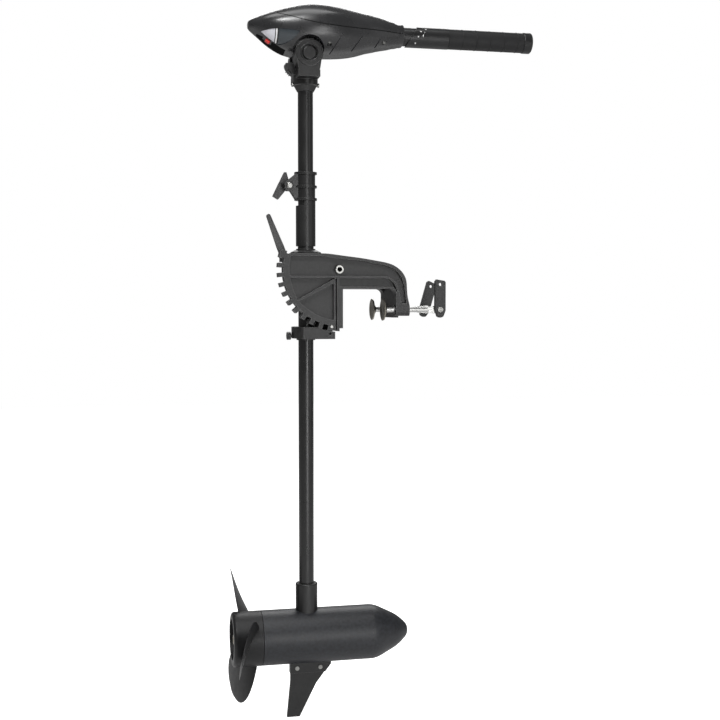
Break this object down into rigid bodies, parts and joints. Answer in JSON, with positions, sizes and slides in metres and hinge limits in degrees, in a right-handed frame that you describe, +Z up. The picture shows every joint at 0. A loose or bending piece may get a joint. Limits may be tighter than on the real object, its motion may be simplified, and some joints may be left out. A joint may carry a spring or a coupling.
{
  "type": "trolling motor",
  "caption": "Transom-mount electric outboard with screw clamps, toothed tilt bracket, depth collar, twist tiller head, long shaft, torpedo motor, bladed propeller and fin.",
  "frame": {"origin": "on the bracket's flat transom face, midway between the two clamp screws and at their height", "axes": "+X points forward into the boat along the tiller and is the transom face's outward normal; +Z is up, along the shaft; +Y is to port"},
  "size_m": [0.5794, 0.2376, 1.3298],
  "materials": {
    "bracket_composite": "satin",
    "polymer_black": "satin",
    "head_plastic": "satin",
    "sleeve_plastic": "satin",
    "grip_rubber": "matte",
    "handle_plastic": "satin",
    "stainless": "brushed",
    "nut_brass": "satin",
    "shaft_black": "satin",
    "motor_paint": "satin",
    "magnet": "matte",
    "lamination": "matte",
    "copper": "satin",
    "board": "matte",
    "switch_plastic": "matte",
    "propeller_plastic": "satin",
    "panel_pale": "matte",
    "lens_dark": "gloss",
    "button_red": "satin"
  },
  "bodies": {
    "bracket": {"clamp_bracket": "bracket_composite", "pivot_bolt": "stainless", "pivot_nut": "stainless", "stop_pin": "stainless", "screw_inserts": "stainless"},
    "pad_starboard": {"clamp_pad_starboard": "handle_plastic"},
    "pad_port": {"clamp_pad_port": "handle_plastic"},
    "screw_starboard": {"clamp_screw_starboard": "stainless", "grip_rivet_starboard": "stainless"},
    "screw_port": {"clamp_screw_port": "stainless", "grip_rivet_port": "stainless"},
    "grip_starboard": {"clamp_grip_starboard": "handle_plastic"},
    "grip_port": {"clamp_grip_port": "handle_plastic"},
    "cradle": {"tilt_cradle": "bracket_composite", "lower_bush": "polymer_black", "upper_bush": "polymer_black", "lever_pin": "stainless"},
    "lock_pin": {"lock_pin": "stainless"},
    "tilt_lever": {"tilt_lever": "polymer_black"},
    "tension_screw": {"tension_screw": "polymer_black"},
    "swivel": {"steering_sleeve": "polymer_black", "depth_collar": "polymer_black", "collar_bolt": "stainless"},
    "collar_lever": {"collar_lever": "polymer_black"},
    "shaft": {"shaft_tube": "shaft_black", "head_yoke": "polymer_black", "yoke_screws": "stainless", "hinge_pin": "stainless", "neck_sleeve": "polymer_black", "motor_tube": "motor_paint", "nose_cone": "motor_paint", "rear_cap": "motor_paint", "shaft_bearings": "stainless", "shaft_seal": "grip_rubber", "field_magnets": "magnet", "brush_plate": "board", "skeg": "polymer_black", "skeg_screws": "stainless", "through_bolts": "stainless"},
    "tilt_release": {"tilt_release": "polymer_black"},
    "propeller": {"propeller": "propeller_plastic", "prop_shaft": "stainless", "armature": "lamination", "windings": "copper", "commutator": "copper", "drive_pin": "stainless", "prop_nut": "nut_brass"},
    "head": {"head_housing": "head_plastic", "head_cover": "head_plastic", "speed_switch": "switch_plastic", "control_board": "board", "gauge_panel": "panel_pale", "gauge_strip": "panel_pale", "gauge_lens": "lens_dark", "head_screws": "stainless"},
    "test_button": {"test_button": "button_red"},
    "tiller": {"tiller_tube": "shaft_black"},
    "grip": {"speed_sleeve": "sleeve_plastic", "rubber_grip": "grip_rubber", "end_cap": "head_plastic"}
  },
  "joints": [
    {"name": "tilt", "type": "hinge", "parent": "bracket", "child": "cradle", "pos_m": [-0.0063, 0, 0.073], "axis": [0, 1, 0], "range_deg": [0, 84.6]},
    {"name": "tilt_lever_turn", "type": "hinge", "parent": "cradle", "child": "tilt_lever", "pos_m": [-0.1005, 0, 0.1015], "axis": [0, 1, 0], "range_deg": [0, 12], "stiffness_Nm_per_rad": 0.6, "springref_deg": -5.73},
    {"name": "lock_pin_slide", "type": "slide", "parent": "cradle", "child": "lock_pin", "axis": [0.2436, 0, 0.9699], "range_m": [0, 0.0091]},
    {"name": "tension_screw_turn", "type": "hinge", "parent": "cradle", "child": "tension_screw", "pos_m": [-0.09, 0, -0.04875], "axis": [1, 0, 0], "continuous": true},
    {"name": "steer", "type": "hinge", "parent": "cradle", "child": "swivel", "pos_m": [-0.0582, 0, 0.15], "axis": [0, 0, 1], "continuous": true},
    {"name": "collar_lever_turn", "type": "hinge", "parent": "swivel", "child": "collar_lever", "pos_m": [-0.0892, 0, 0.2285], "axis": [0, 1, 0], "range_deg": [0, 85]},
    {"name": "depth_slide", "type": "slide", "parent": "swivel", "child": "shaft", "axis": [0, 0, 1], "range_m": [-0.145, 0.4]},
    {"name": "propeller_spin", "type": "hinge", "parent": "shaft", "child": "propeller", "pos_m": [-0.1, 0, -0.615], "axis": [1, 0, 0], "continuous": true},
    {"name": "tilt_release_slide", "type": "slide", "parent": "shaft", "child": "tilt_release", "axis": [0.7071, 0, 0.7071], "range_m": [0, 0.003], "stiffness_N_per_m": 500},
    {"name": "head_tilt", "type": "hinge", "parent": "shaft", "child": "head", "pos_m": [-0.0582, 0, 0.464], "axis": [0, -1, 0], "range_deg": [-30, 25]},
    {"name": "test_button_slide", "type": "slide", "parent": "head", "child": "test_button", "axis": [0.5027, 0, 0.8645], "range_m": [0, 0.002], "stiffness_N_per_m": 300},
    {"name": "tiller_extend", "type": "slide", "parent": "head", "child": "tiller", "axis": [1, 0, 0], "range_m": [0, 0.12]},
    {"name": "speed_twist", "type": "hinge", "parent": "tiller", "child": "grip", "pos_m": [0.25, 0, 0.511], "axis": [1, 0, 0], "range_deg": [-100, 100]},
    {"name": "pad_starboard_slide", "type": "slide", "parent": "bracket", "child": "pad_starboard", "axis": [-1, 0, 0], "range_m": [-0.008, 0.034]},
    {"name": "screw_starboard_turn", "type": "hinge", "parent": "pad_starboard", "child": "screw_starboard", "pos_m": [0.12, -0.05, 0], "axis": [-1, 0, 0], "range_deg": [-1440, 6120]},
    {"name": "grip_starboard_fold", "type": "hinge", "parent": "screw_starboard", "child": "grip_starboard", "pos_m": [0.1845, -0.05, 0], "axis": [0, 1, 0], "range_deg": [-90, 90]},
    {"name": "pad_port_slide", "type": "slide", "parent": "bracket", "child": "pad_port", "axis": [-1, 0, 0], "range_m": [-0.008, 0.036]},
    {"name": "screw_port_turn", "type": "hinge", "parent": "pad_port", "child": "screw_port", "pos_m": [0.12, 0.05, 0], "axis": [-1, 0, 0], "range_deg": [-1440, 6480]},
    {"name": "grip_port_fold", "type": "hinge", "parent": "screw_port", "child": "grip_port", "pos_m": [0.187, 0.05, 0], "axis": [0, 1, 0], "range_deg": [-106, 74]}
  ],
  "couplings": [
    {"joint": "lock_pin_slide", "follows": "tilt_lever_turn", "m_per_rad": 0.0429},
    {"joint": "screw_starboard_turn", "follows": "pad_starboard_slide", "rad_per_m": 3141.6},
    {"joint": "screw_port_turn", "follows": "pad_port_slide", "rad_per_m": 3141.6}
  ]
}
